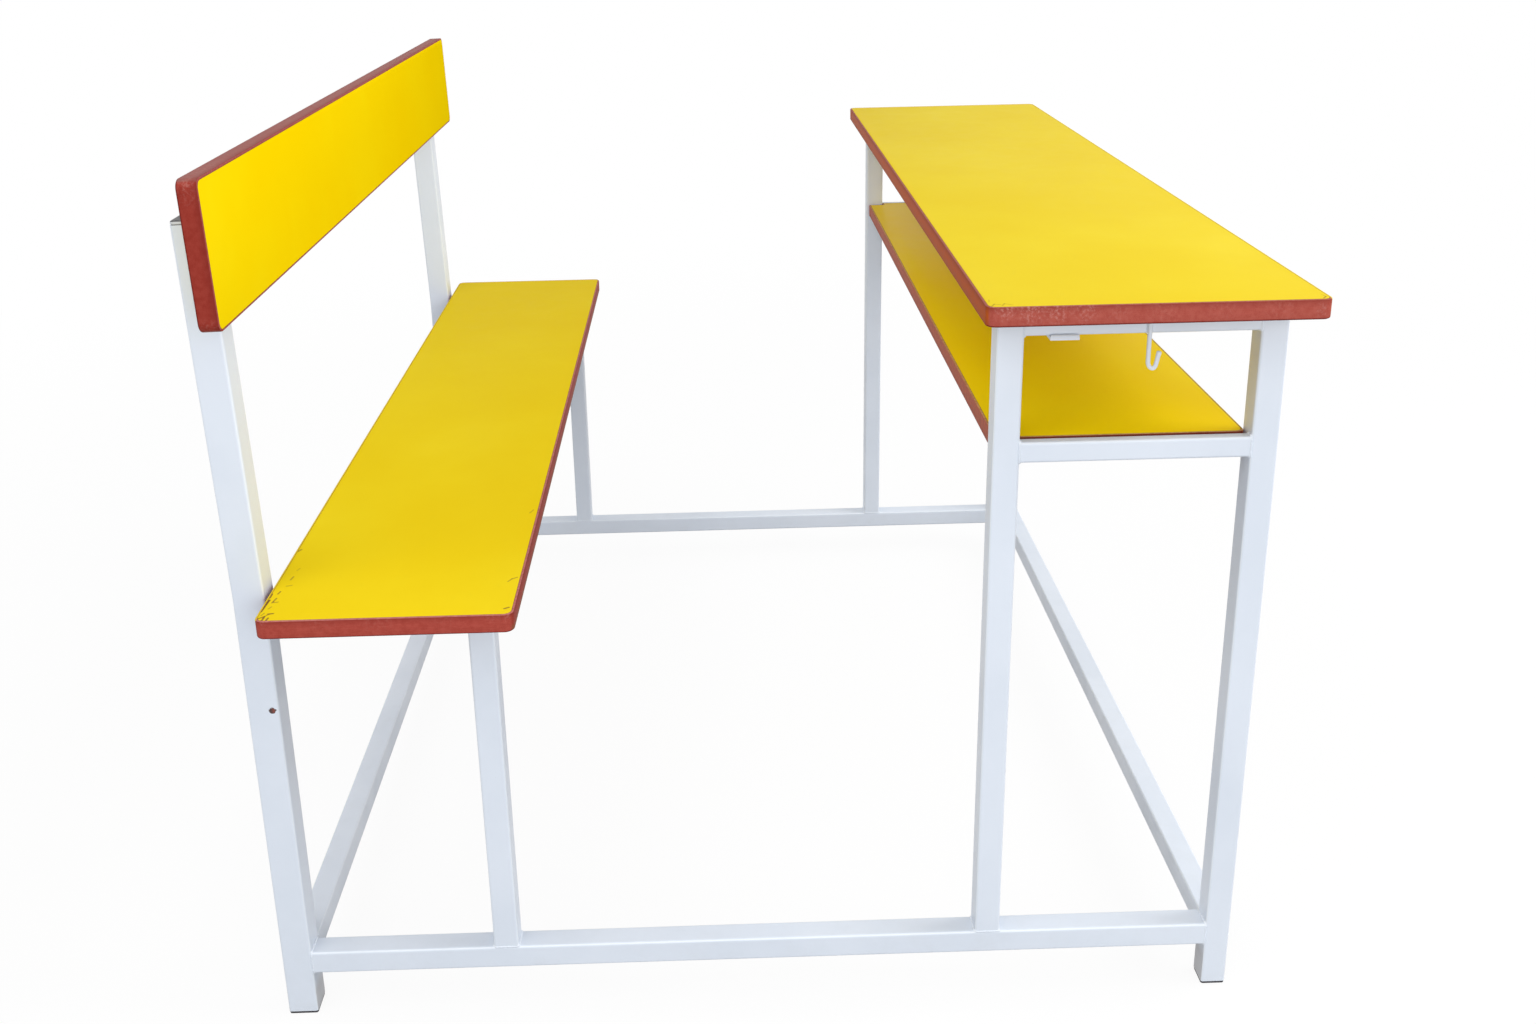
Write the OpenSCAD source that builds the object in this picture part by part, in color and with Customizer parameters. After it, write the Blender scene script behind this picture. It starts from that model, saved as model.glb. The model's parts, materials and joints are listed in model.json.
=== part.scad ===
// Dual desk bench: a two-seat school bench and desk on one welded steel frame.
// X runs along the bench, the sitter looks towards -Y, and Z is up.
// The origin is on the floor, below the middle of the whole piece.
// Right and left are the sitter's own: right is -X and left is +X.

/* [Frame] */
// Length of the frame over the outer faces of its two side frames
frame_len = 1090; // [800:5:1500]
// Depth over the desk's two legs on one side
desk_leg_span = 262; // [220:1:400]
// Clear distance between the desk's back leg and the seat leg
knee_gap = 464; // [300:1:600]
// Clear distance between the seat leg and the rear post
seat_rail_len = 185; // [150:1:300]
// Clear height under the bottom rails and the stretchers
rail_raise = 49; // [20:1:150]
// Height at which the rear posts start to lean back
bend_h = 470; // [440:1:520]
// Angle at which the posts and the backrest lean back
lean = 1.5; // [0:0.5:8]

/* [Tubes] */
// Outside size of the rear posts' square tube
post_tube = 30; // [25:1:40]
// Outside size of the square tube of legs, rails and stretchers
leg_tube = 25; // [20:1:30]
// Height of the shelf rails' flat tube
shelf_rail_h = 20; // [16:1:30]
// Width of the shelf rails' flat tube
shelf_rail_w = 12; // [10:1:18]
// Wall thickness of all tubes
tube_wall = 1.5; // [1:0.1:2]
// Outside corner radius of all tubes
tube_round = 2.5; // [2.2:0.1:4]

/* [Boards] */
// Reach of the desktop, seat and backrest past the side frames, at each end
board_over = 55; // [20:1:120]
// Thickness of every board with its laminate
board_t = 18; // [15:1:25]
// Thickness of the coloured laminate
laminate_t = 1; // [0.6:0.1:1.5]
// Thickness of the laminate on a board's hidden face
backer_t = 0.8; // [0.5:0.1:1.2]
// Thickness of the edge band
band_t = 2; // [1:0.1:3]
// Corner radius of the boards, seen from above
board_round = 9; // [5:0.5:20]

/* [Desk] */
// Height of the desktop above the floor
desk_h = 750; // [700:1:820]
// Reach of the desktop past the front legs
desk_over_front = 14; // [5:1:60]
// Reach of the desktop past the back legs, towards the sitter
desk_over_back = 20; // [5:1:60]
// Height of the shelf rails' top faces
shelf_h = 606; // [540:1:640]
// Distance from the shelf's long edge back to the back legs' outer face
shelf_set = 4; // [2:1:15]
// Gap all round between the shelf and the frame
shelf_gap = 1; // [0.5:0.1:3]

/* [Bench] */
// Height of the seat above the floor
seat_h = 476; // [440:1:490]
// Reach of the seat past the seat legs, towards the desk
seat_over = 27; // [5:1:60]
// Gap between the seat's rear edge and the rear posts
seat_gap = 5; // [1:0.5:15]
// Height of the backrest's upper edge above the floor
back_h = 875; // [850:1:900]
// Height of the backrest board, measured along its lean
back_board_h = 131; // [120:1:180]
// Distance from the backrest's upper edge down to the rear posts' cut tops
post_drop = 49; // [20:1:54]
// Distance of the backrest's screws from its lower edge and from the posts' tops
back_screw_edge = 22; // [16:1:24]

/* [Small parts] */
// Thickness of the lugs and tabs cut from flat bar
lug_t = 3; // [2:0.5:5]
// Width of the lugs and tabs along their rail
lug_w = 26; // [16:1:40]
// Reach of the lugs and tabs past their rail
lug_reach = 12; // [11:0.5:16]
// Distance from a leg to the middle of the nearest lug or tab
lug_from_leg = 35; // [25:1:60]
// Reach of the desk rails' rear tabs past the rails' outer faces
tab_out = 4.5; // [1:0.5:10]
// Rod diameter of the bag hooks
hook_rod = 4; // [3.5:0.5:8]
// Distance between the centres of a bag hook's stem and tip
hook_wide = 10; // [9.5:0.5:30]
// Depth of a bag hook below its rail
hook_drop = 34; // [26:1:80]
// Height of a bag hook's tip above the middle of its bend
hook_tip = 11; // [6:1:25]
// Distance from the desk's front legs to the hook's stem
hook_from_leg = 101; // [60:1:150]
// Thickness of the feet below the tubes
foot_t = 3; // [2:0.5:10]
// Thickness of the rear posts' end caps above the tubes
cap_t = 4; // [2:0.5:8]
// Depth of the feet's and the caps' plugs inside their tubes
plug_deep = 14; // [8:1:25]
// Clearance of a plug to the tube wall on each side
plug_gap = 0.2; // [0.1:0.05:0.5]
// Shank diameter of all screws
screw_d = 5; // [3.5:0.5:6]
// Head diameter of all screws
screw_head_d = 9.5; // [7:0.5:12]
// Head height of all screws
screw_head_t = 2.8; // [2:0.1:4]
// Depth that a screw enters a board
screw_bite = 12; // [8:0.5:14]
// Clearance round a shank in the steel, on each side
screw_gap = 0.4; // [0.2:0.1:1]

/* [Hidden] */
$fn = 48;

side_x = frame_len / 2;
leg_x = side_x - leg_tube / 2;
post_x = side_x - post_tube / 2;
rail_top = rail_raise + leg_tube;
desk_under = desk_h - board_t;
seat_under = seat_h - board_t;
board_len = frame_len + 2 * board_over;
core_t = board_t - laminate_t - backer_t;

// Reach of each half of a rear post past the mitre of its bend, inside the other half
bend_lap = 1;

// Lengths along the leaning stretch, counted from the bend
post_h = back_h - post_drop;
post_run = (post_h - bend_h) / cos(lean);
back_front = post_tube / 2 + board_t;
back_top = (back_h - bend_h - back_front * sin(lean)) / cos(lean);
back_low = back_top - back_board_h;
back_screws = [back_low + back_screw_edge, post_run - back_screw_edge];

// How far the leaning stretch reaches behind the post's middle line
cap_reach = post_tube / 2 * cos(lean) + (post_run + cap_t) * sin(lean);
head_reach = (post_tube / 2 + screw_head_t) * cos(lean) + (back_screws[1] + screw_head_d / 2) * sin(lean);
frame_depth = desk_leg_span + knee_gap + leg_tube + seat_rail_len + post_tube / 2;
depth = desk_over_front + frame_depth + max(cap_reach, head_reach);

// Faces of the legs and posts along Y
front_y = desk_over_front - depth / 2;
shelf_y = front_y + leg_tube;
desk_back_y = front_y + desk_leg_span;
seat_leg_y = desk_back_y + knee_gap;
seat_rail_y = seat_leg_y + leg_tube;
post_y = seat_rail_y + seat_rail_len;

// The boards
desktop_depth = desk_over_front + desk_leg_span + desk_over_back;
seat_depth = seat_over + leg_tube + seat_rail_len - seat_gap;
seat_front_y = seat_leg_y - seat_over;
shelf_len = frame_len - 2 * (shelf_rail_w + shelf_gap);
shelf_front_y = shelf_y + shelf_gap;
shelf_depth = desk_back_y - shelf_set - shelf_front_y;
shelf_notch_x = leg_tube - shelf_rail_w;
shelf_notch_y = leg_tube + shelf_gap - shelf_set;
shelf_under = shelf_h - shelf_rail_h + lug_t;

// Places of the tabs, lugs and screws
desk_rail_len = desk_leg_span - 2 * leg_tube;
tab_back_y = desk_back_y - leg_tube - lug_from_leg;
tab_front_y = shelf_y + lug_from_leg;
tab_inner_x = side_x - leg_tube - lug_reach;
tab_hole_x = tab_inner_x + lug_reach / 2;
lug_inner_x = side_x - shelf_rail_w;
seat_screw_ys = [seat_rail_y + lug_from_leg, post_y - lug_from_leg];
shank_gap_r = screw_d / 2 + screw_gap;

// Flat outline with rounded corners, centred
module rounded(w, h, r) {
  square([w - 2 * r, h], center = true);
  square([w, h - 2 * r], center = true);
  for (x = [-1, 1], y = [-1, 1])
    translate([x * (w / 2 - r), y * (h / 2 - r)]) circle(r);
}

// Wall of a tube, seen along its length
module tube_section(w, h) {
  difference() {
    rounded(w, h, tube_round);
    rounded(w - 2 * tube_wall, h - 2 * tube_wall, tube_round - tube_wall);
  }
}

// Upright tube, standing on the XY plane
module upright(size, tall) {
  linear_extrude(tall) tube_section(size, size);
}

// Tube along Y from the origin, its middle line on the Y axis
module tube_along_y(w, h, long) {
  rotate([-90, 0, 0]) linear_extrude(long) tube_section(w, h);
}

// Tube along X, its middle at the origin
module tube_along_x(size, long) {
  rotate([0, 90, 0]) linear_extrude(long, center = true) tube_section(size, size);
}

// Carries a piece from the upright frame of the posts' bend to its lean
module leaning() {
  translate([0, post_y + post_tube / 2, bend_h]) rotate([-lean, 0, 0]) children();
}

// Space below the mitre of the posts' bend with side = -1, or above it with side = 1
module mitre_side(side) {
  translate([post_x, post_y + post_tube / 2, bend_h]) rotate([-lean / 2, 0, 0])
    translate([0, 0, side * (post_h - bend_lap)])
      cube([2 * post_tube, 6 * post_tube, 2 * post_h], center = true);
}

module rear_post() {
  color("#e2e8ee") difference() {
    union() {
      intersection() {
        translate([post_x, post_y + post_tube / 2, foot_t]) upright(post_tube, bend_h + post_tube - foot_t);
        mitre_side(-1);
      }
      intersection() {
        leaning() translate([post_x, 0, -post_tube]) upright(post_tube, post_run + post_tube);
        mitre_side(1);
      }
    }
    leaning() for (z = back_screws)
      translate([post_x, 0, z]) rotate([90, 0, 0])
        cylinder(r = shank_gap_r, h = post_tube + 2, center = true);
  }
}

// Flange and plug for the end of a square tube, the flange above Z = 0
module plug(size, flange) {
  hole = size - 2 * tube_wall - 2 * plug_gap;
  linear_extrude(flange) rounded(size, size, tube_round);
  translate([0, 0, -plug_deep])
    linear_extrude(plug_deep) rounded(hole, hole, tube_round - tube_wall);
}

module post_cap() {
  color("#8f9296") leaning() translate([post_x, 0, post_run]) plug(post_tube, cap_t);
}

module rear_foot() {
  color("#2d2a31") translate([post_x, post_y + post_tube / 2, foot_t])
    mirror([0, 0, 1]) plug(post_tube, foot_t);
}

module front_foot() {
  color("#2d2a31") translate([leg_x, front_y + leg_tube / 2, foot_t])
    mirror([0, 0, 1]) plug(leg_tube, foot_t);
}

module seat_leg() {
  color("#e2e8ee") translate([leg_x, seat_leg_y + leg_tube / 2, rail_top])
    upright(leg_tube, seat_under - rail_top);
}

module desk_back_leg() {
  color("#e2e8ee") translate([leg_x, desk_back_y - leg_tube / 2, rail_top])
    upright(leg_tube, desk_under - rail_top);
}

module desk_front_leg() {
  color("#e2e8ee") translate([leg_x, front_y + leg_tube / 2, foot_t])
    upright(leg_tube, desk_under - foot_t);
}

module bottom_rail() {
  color("#e2e8ee") translate([leg_x, shelf_y, rail_raise + leg_tube / 2])
    tube_along_y(leg_tube, leg_tube, post_y - shelf_y);
}

module seat_rail() {
  color("#e2e8ee") difference() {
    translate([leg_x, seat_rail_y, seat_under - leg_tube / 2])
      tube_along_y(leg_tube, leg_tube, seat_rail_len);
    for (y = seat_screw_ys)
      translate([leg_x, y, seat_under - leg_tube / 2])
        cylinder(r = shank_gap_r, h = leg_tube + 2, center = true);
  }
}

module desk_rail() {
  color("#e2e8ee") translate([leg_x, shelf_y, desk_under - leg_tube / 2])
    tube_along_y(leg_tube, leg_tube, desk_rail_len);
}

module shelf_rail() {
  color("#e2e8ee") translate([side_x - shelf_rail_w / 2, shelf_y, shelf_h - shelf_rail_h / 2])
    tube_along_y(shelf_rail_w, shelf_rail_h, desk_rail_len);
}

// Flat lug from X = from_x to to_x, its top on Z = 0, drilled at hole_x
module lug(from_x, to_x, hole_x) {
  difference() {
    translate([from_x, -lug_w / 2, -lug_t]) cube([to_x - from_x, lug_w, lug_t]);
    translate([hole_x, 0, -lug_t / 2]) cylinder(r = shank_gap_r, h = lug_t + 2, center = true);
  }
}

// Two tabs under the rail, of which the one by the back leg also shows outside it
module desk_tabs() {
  color("#e2e8ee") {
    translate([0, tab_back_y, desk_under - leg_tube]) lug(tab_inner_x, side_x + tab_out, tab_hole_x);
    translate([0, tab_front_y, desk_under - leg_tube]) lug(tab_inner_x, leg_x, tab_hole_x);
  }
}

module shelf_lugs() {
  color("#e2e8ee") for (y = [tab_front_y, tab_back_y])
    translate([0, y, shelf_under])
      lug(lug_inner_x - 2 * lug_reach, lug_inner_x, lug_inner_x - shelf_gap - lug_reach);
}

// Rod bent to a J, welded to the outer face of the desk rail
module bag_hook() {
  bend_z = desk_under - leg_tube - hook_drop + hook_wide / 2 + hook_rod / 2;
  stem_top = desk_under - leg_tube / 4;
  stem_y = shelf_y + hook_from_leg;
  color("#e2e8ee") translate([side_x + hook_rod / 2, stem_y, bend_z]) {
    cylinder(d = hook_rod, h = stem_top - bend_z);
    translate([0, -hook_wide / 2, 0]) rotate([0, 90, 0]) rotate([0, 0, -90])
      rotate_extrude(angle = 180) translate([hook_wide / 2, 0]) circle(d = hook_rod);
    translate([0, -hook_wide, 0]) cylinder(d = hook_rod, h = hook_tip);
  }
}

module rear_stretcher() {
  color("#e2e8ee") translate([0, post_y + leg_tube / 2, rail_raise + leg_tube / 2])
    tube_along_x(leg_tube, 2 * (side_x - post_tube));
}

module front_stretcher() {
  color("#e2e8ee") translate([0, front_y + leg_tube / 2, rail_raise + leg_tube / 2])
    tube_along_x(leg_tube, 2 * (side_x - leg_tube));
}

module seat_bearer() {
  color("#e2e8ee") translate([0, (seat_screw_ys[0] + seat_screw_ys[1]) / 2, seat_under - leg_tube / 2])
    tube_along_x(leg_tube, 2 * (side_x - leg_tube));
}

// Outline of a board from Y = 0, drawn in by inset and notched at its +Y corners
module board_plan(l, d, inset, notch_x, notch_y) {
  difference() {
    translate([0, d / 2]) rounded(l - 2 * inset, d - 2 * inset, board_round - inset);
    if (notch_x > 0 && notch_y > 0)
      for (x = [-1, 1])
        translate([x * l / 2, d]) square(2 * [notch_x + inset, notch_y + inset], center = true);
  }
}

// The four layers of a board, each from Z = 0 at the board's lower face
module core(l, d, notch_x = 0, notch_y = 0) {
  color("#c9a26c") translate([0, 0, backer_t])
    linear_extrude(core_t) board_plan(l, d, band_t, notch_x, notch_y);
}

module laminate(l, d, notch_x = 0, notch_y = 0) {
  color("#f8dc20") translate([0, 0, backer_t + core_t])
    linear_extrude(laminate_t) board_plan(l, d, band_t, notch_x, notch_y);
}

module backer(l, d, notch_x = 0, notch_y = 0, tone = "#ddd8cc") {
  color(tone) linear_extrude(backer_t) board_plan(l, d, band_t, notch_x, notch_y);
}

module edge_band(l, d, notch_x = 0, notch_y = 0) {
  color("#a4473a") linear_extrude(board_t) difference() {
    board_plan(l, d, 0, notch_x, notch_y);
    board_plan(l, d, band_t, notch_x, notch_y);
  }
}

// Places of the boards
module at_desktop() {
  translate([0, front_y - desk_over_front, desk_under]) children();
}

module at_shelf() {
  translate([0, shelf_front_y, shelf_under]) children();
}

module at_seat() {
  translate([0, seat_front_y, seat_under]) children();
}

module at_backrest() {
  leaning() translate([0, -post_tube / 2, back_low]) rotate([90, 0, 0]) children();
}

// Screw pointing up, the underside of its head on Z = 0
module screw(shank) {
  cylinder(d = screw_d, h = shank);
  translate([0, 0, -screw_head_t]) cylinder(d = screw_head_d, h = screw_head_t);
}

// Screws through the tabs, up into the desktop
module desktop_screws() {
  shank = lug_t + leg_tube + screw_bite;
  color("#b9bcc0") for (side = [-1, 1], y = [tab_front_y, tab_back_y])
    translate([side * tab_hole_x, y, desk_under + screw_bite - shank]) screw(shank);
}

// Screws through the lugs, up into the shelf
module shelf_screws() {
  shank = lug_t + screw_bite;
  color("#b9bcc0") for (side = [-1, 1], y = [tab_front_y, tab_back_y])
    translate([side * (lug_inner_x - shelf_gap - lug_reach), y, shelf_under - lug_t]) screw(shank);
}

// Screws through the seat rails, up into the seat
module seat_screws() {
  shank = leg_tube + screw_bite;
  color("#b9bcc0") for (side = [-1, 1], y = seat_screw_ys)
    translate([side * leg_x, y, seat_under - leg_tube]) screw(shank);
}

// Screws through the rear posts, forward into the backrest
module backrest_screws() {
  shank = post_tube + screw_bite;
  color("#b9bcc0") leaning() for (side = [-1, 1], z = back_screws)
    translate([side * post_x, post_tube / 2, z]) rotate([90, 0, 0]) screw(shank);
}

// A board layer with the bores of its screws cut out
module bored() {
  difference() {
    children(0);
    children(1);
  }
}

module desktop_core() {
  bored() {
    at_desktop() core(board_len, desktop_depth);
    desktop_screws();
  }
}

module desktop_backer() {
  bored() {
    at_desktop() backer(board_len, desktop_depth);
    desktop_screws();
  }
}

module desktop_laminate() {
  at_desktop() laminate(board_len, desktop_depth);
}

module desktop_edge_band() {
  at_desktop() edge_band(board_len, desktop_depth);
}

module shelf_core() {
  bored() {
    at_shelf() core(shelf_len, shelf_depth, shelf_notch_x, shelf_notch_y);
    shelf_screws();
  }
}

module shelf_backer() {
  bored() {
    at_shelf() backer(shelf_len, shelf_depth, shelf_notch_x, shelf_notch_y);
    shelf_screws();
  }
}

module shelf_laminate() {
  at_shelf() laminate(shelf_len, shelf_depth, shelf_notch_x, shelf_notch_y);
}

module shelf_edge_band() {
  at_shelf() edge_band(shelf_len, shelf_depth, shelf_notch_x, shelf_notch_y);
}

module seat_core() {
  bored() {
    at_seat() core(board_len, seat_depth);
    seat_screws();
  }
}

module seat_backer() {
  bored() {
    at_seat() backer(board_len, seat_depth);
    seat_screws();
  }
}

module seat_laminate() {
  at_seat() laminate(board_len, seat_depth);
}

module seat_edge_band() {
  at_seat() edge_band(board_len, seat_depth);
}

module backrest_core() {
  bored() {
    at_backrest() core(board_len, back_board_h);
    backrest_screws();
  }
}

module backrest_backer() {
  bored() {
    at_backrest() backer(board_len, back_board_h, tone = "#f8dc20");
    backrest_screws();
  }
}

module backrest_laminate() {
  at_backrest() laminate(board_len, back_board_h);
}

module backrest_edge_band() {
  at_backrest() edge_band(board_len, back_board_h);
}

mirror([1, 0, 0]) rear_post();  // right_rear_post
mirror([1, 0, 0]) post_cap();  // right_post_cap
mirror([1, 0, 0]) rear_foot();  // right_rear_foot
mirror([1, 0, 0]) seat_leg();  // right_seat_leg
mirror([1, 0, 0]) seat_rail();  // right_seat_rail
mirror([1, 0, 0]) bottom_rail();  // right_bottom_rail
mirror([1, 0, 0]) desk_back_leg();  // right_desk_back_leg
mirror([1, 0, 0]) desk_front_leg();  // right_desk_front_leg
mirror([1, 0, 0]) front_foot();  // right_front_foot
mirror([1, 0, 0]) desk_rail();  // right_desk_rail
mirror([1, 0, 0]) shelf_rail();  // right_shelf_rail
mirror([1, 0, 0]) desk_tabs();  // right_desk_tabs
mirror([1, 0, 0]) shelf_lugs();  // right_shelf_lugs
mirror([1, 0, 0]) bag_hook();  // right_bag_hook
rear_post();  // left_rear_post
post_cap();  // left_post_cap
rear_foot();  // left_rear_foot
seat_leg();  // left_seat_leg
seat_rail();  // left_seat_rail
bottom_rail();  // left_bottom_rail
desk_back_leg();  // left_desk_back_leg
desk_front_leg();  // left_desk_front_leg
front_foot();  // left_front_foot
desk_rail();  // left_desk_rail
shelf_rail();  // left_shelf_rail
desk_tabs();  // left_desk_tabs
shelf_lugs();  // left_shelf_lugs
bag_hook();  // left_bag_hook
rear_stretcher();
front_stretcher();
seat_bearer();
desktop_core();
desktop_laminate();
desktop_backer();
desktop_edge_band();
shelf_core();
shelf_laminate();
shelf_backer();
shelf_edge_band();
seat_core();
seat_laminate();
seat_backer();
seat_edge_band();
backrest_core();
backrest_laminate();
backrest_backer();
backrest_edge_band();
desktop_screws();
shelf_screws();
seat_screws();
backrest_screws();
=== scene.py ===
import json
import math
import random

import bmesh
import bpy
from mathutils import Matrix, Vector


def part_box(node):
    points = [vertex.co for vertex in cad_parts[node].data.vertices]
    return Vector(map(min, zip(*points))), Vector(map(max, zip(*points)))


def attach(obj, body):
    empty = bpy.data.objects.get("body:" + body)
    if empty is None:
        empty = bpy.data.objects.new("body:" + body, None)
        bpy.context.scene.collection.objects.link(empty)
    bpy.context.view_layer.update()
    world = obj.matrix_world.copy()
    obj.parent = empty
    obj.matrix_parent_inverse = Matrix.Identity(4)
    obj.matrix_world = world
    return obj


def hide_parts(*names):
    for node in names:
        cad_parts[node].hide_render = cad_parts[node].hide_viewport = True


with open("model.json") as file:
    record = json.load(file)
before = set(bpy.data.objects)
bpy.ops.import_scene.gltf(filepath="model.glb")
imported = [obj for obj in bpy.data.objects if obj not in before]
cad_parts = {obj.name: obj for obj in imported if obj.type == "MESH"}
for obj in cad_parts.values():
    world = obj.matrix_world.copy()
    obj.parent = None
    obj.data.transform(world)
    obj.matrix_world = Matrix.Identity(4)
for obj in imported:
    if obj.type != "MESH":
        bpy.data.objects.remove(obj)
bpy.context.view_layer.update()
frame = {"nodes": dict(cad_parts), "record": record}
nodes = frame["nodes"]
mounts = {mount["name"]: mount for mount in frame["record"]["mounts"]}
sides = ("right", "left")  # the sitter's right is -X, the near end in the photo
mm = 0.001
sameSpot = 0.001 * mm      # points of a piece closer than this are one
tolerance = 0.01 * mm      # the same for heights, and for corners of the CAD solids
alongX = (1, 0, 0)
alongY = (0, 1, 0)
up = (0, 0, 1)
print("frame loaded:", len(nodes), "nodes")


# Camera at the photo's viewing angle, worked out from the edges of the near side frame
photoCamera = {
    "photo": (1536, 1024),      # pixels
    "focalPixels": 1478.3,
    "centre": (737.1, 371.2),   # where the optical axis meets the photo
    "place": (-1.24996, 0.5149, 1.08966),  # from the foot of the near front leg, metres
    "yaw": 0.0177,              # radians, as are the next two
    "pitch": 0.3154,
    "roll": 0.0205,
    "sensor": 36.0,             # millimetres
    "clipEnd": 60,              # metres
}


def makeCamera(view):
    yaw, pitch, roll = view["yaw"], view["pitch"], view["roll"]
    ahead = Vector((math.cos(yaw) * math.cos(pitch), -math.sin(yaw) * math.cos(pitch), -math.sin(pitch)))
    level = Vector((-math.sin(yaw), -math.cos(yaw), 0))
    across = math.cos(roll) * level + math.sin(roll) * ahead.cross(level)
    turn = Matrix((across, across.cross(ahead), -ahead)).transposed().to_4x4()
    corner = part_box("right_desk_front_leg")[0]
    camera = bpy.data.objects.new("camera", bpy.data.cameras.new("camera"))
    bpy.context.scene.collection.objects.link(camera)
    camera.matrix_world = Matrix.Translation(Vector(view["place"]) + Vector((corner.x, corner.y, 0))) @ turn
    wide, high = view["photo"]
    camera.data.sensor_width = view["sensor"]
    camera.data.lens = view["sensor"] * view["focalPixels"] / wide
    camera.data.shift_x = (wide / 2 - view["centre"][0]) / wide
    camera.data.shift_y = (view["centre"][1] - high / 2) / wide
    camera.data.clip_end = view["clipEnd"]
    bpy.context.scene.camera = camera


makeCamera(photoCamera)
print("camera set")


# Shader maths: a Socket stands for one value or colour in a material
class Socket:
    def __init__(self, tree, link):
        self.tree, self.link = tree, link

    def node(self, kind, settings=None, inputs=None, out=0):  # settings first, then the sockets
        made = self.tree.nodes.new(kind)
        for name, value in (settings or {}).items():
            setattr(made, name, value)
        for name, value in (inputs or {}).items():
            plug(made.inputs[name], value)
        return Socket(self.tree, made.outputs[out])

    def maths(self, operation, *values):
        return self.node("ShaderNodeMath", {"operation": operation}, dict(enumerate(values)))

    def __add__(self, other):
        return self.maths("ADD", self, other)

    def __radd__(self, other):
        return self.maths("ADD", other, self)

    def __sub__(self, other):
        return self.maths("SUBTRACT", self, other)

    def __rsub__(self, other):
        return self.maths("SUBTRACT", other, self)

    def __mul__(self, other):
        return self.maths("MULTIPLY", self, other)

    def __rmul__(self, other):
        return self.maths("MULTIPLY", other, self)

    def __abs__(self):
        return self.maths("ABSOLUTE", self)

    def lowest(self, other):
        return self.maths("MINIMUM", self, other)

    def highest(self, other):
        return self.maths("MAXIMUM", self, other)

    def ease(self, start, end):  # 0 at start, 1 at end, smooth between
        return self.node("ShaderNodeMapRange", {"interpolation_type": "SMOOTHSTEP"},
                         {"Value": self, "From Min": start, "From Max": end})

    def part(self, index):  # x, y or z of a vector
        return self.node("ShaderNodeSeparateXYZ", inputs={0: self}, out=index)

    def stretch(self, scale):
        return self.node("ShaderNodeMapping", inputs={"Vector": self, "Scale": scale})

    def noise(self, scale, detail=3.0, rough=0.55):  # scale is in lumps to the metre
        return self.node("ShaderNodeTexNoise", inputs={
            "Vector": self, "Scale": scale, "Detail": detail, "Roughness": rough})

    def along(self, axis):  # how far a vector reaches along an axis
        return self.node("ShaderNodeVectorMath", {"operation": "DOT_PRODUCT"}, {0: self, 1: axis}, out=1)

    def awayFrom(self, spot):
        return self.node("ShaderNodeVectorMath", {"operation": "DISTANCE"}, {0: self, 1: spot}, out=1)

    def blend(self, low, high):  # low where this mask is 0, high where it is 1
        return self.node("ShaderNodeMix", {"data_type": "RGBA"}, {0: self, 6: low, 7: high}, out=2)


def plug(socket, value):
    if isinstance(value, Socket):
        value.tree.links.new(value.link, socket)
    else:
        socket.default_value = value


def shade(red, green, blue):  # a colour as the screen shows it, 0 to 255, made linear
    def linear(value):
        value /= 255
        return value / 12.92 if value <= 0.04045 else ((value + 0.055) / 1.055) ** 2.4
    return (linear(red), linear(green), linear(blue), 1.0)


def newFinish(name, fixed):  # fixed numbers go straight on the shader's own sockets
    material = bpy.data.materials.new(name)
    material.use_nodes = True
    shader = material.node_tree.nodes["Principled BSDF"]
    for socket, value in fixed.items():
        shader.inputs[socket].default_value = value
    place = Socket(material.node_tree, material.node_tree.nodes.new("ShaderNodeTexCoord").outputs["Object"])
    return material, shader, place


def addBump(shader, height, depth):
    plug(shader.inputs["Normal"], height.node("ShaderNodeBump", inputs={"Height": height, "Distance": depth}))


# White powder coat of the frame, with a fine orange peel, a chip down to the primer, painted highlights on
# the tubes' corners and painted shade near the floor
framePaint = {
    "coat": shade(229, 237, 248),
    "thin": shade(219, 228, 240),    # clouds in the coat
    "dust": shade(196, 198, 198),
    "arris": shade(242, 247, 252),   # painted highlight on the tubes' rounded corners
    "paintedShade": shade(168, 162, 157),   # painted shade on front and rear faces near the floor
    "primer": shade(132, 62, 50),
    "rim": shade(70, 48, 46),        # a chip's broken edge, and painted shade over the chip's half towards +Y
    "clouds": (7, 0.6),              # lumps to the metre and strength, as are the next two
    "specks": (210, 0.08),
    "dusting": (38, 0.12),
    "dustTop": 160 * mm,             # height where the dust ends
    "arrisStrength": 0.6,
    "paintedShadeStrength": 0.55,
    "paintedShadeFade": (30 * mm, 52 * mm),    # heights between which the painted shade ends
    "paintedShadeWave": 12 * mm,            # how uneven those heights are
    "peelScale": 620,                # lumps to the metre, as are the next two
    "waveScale": 90,
    "chipScale": 520,
    "chipRagged": 1.1,               # share of its size
    "chipDepth": 3,                  # in depths of the peel
    "peelDepth": 0.06 * mm,
    "chips": [(460.5, 353.5, 3.7)],  # y, z and radius in millimetres, on the near rear post's outer face
}


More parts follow.
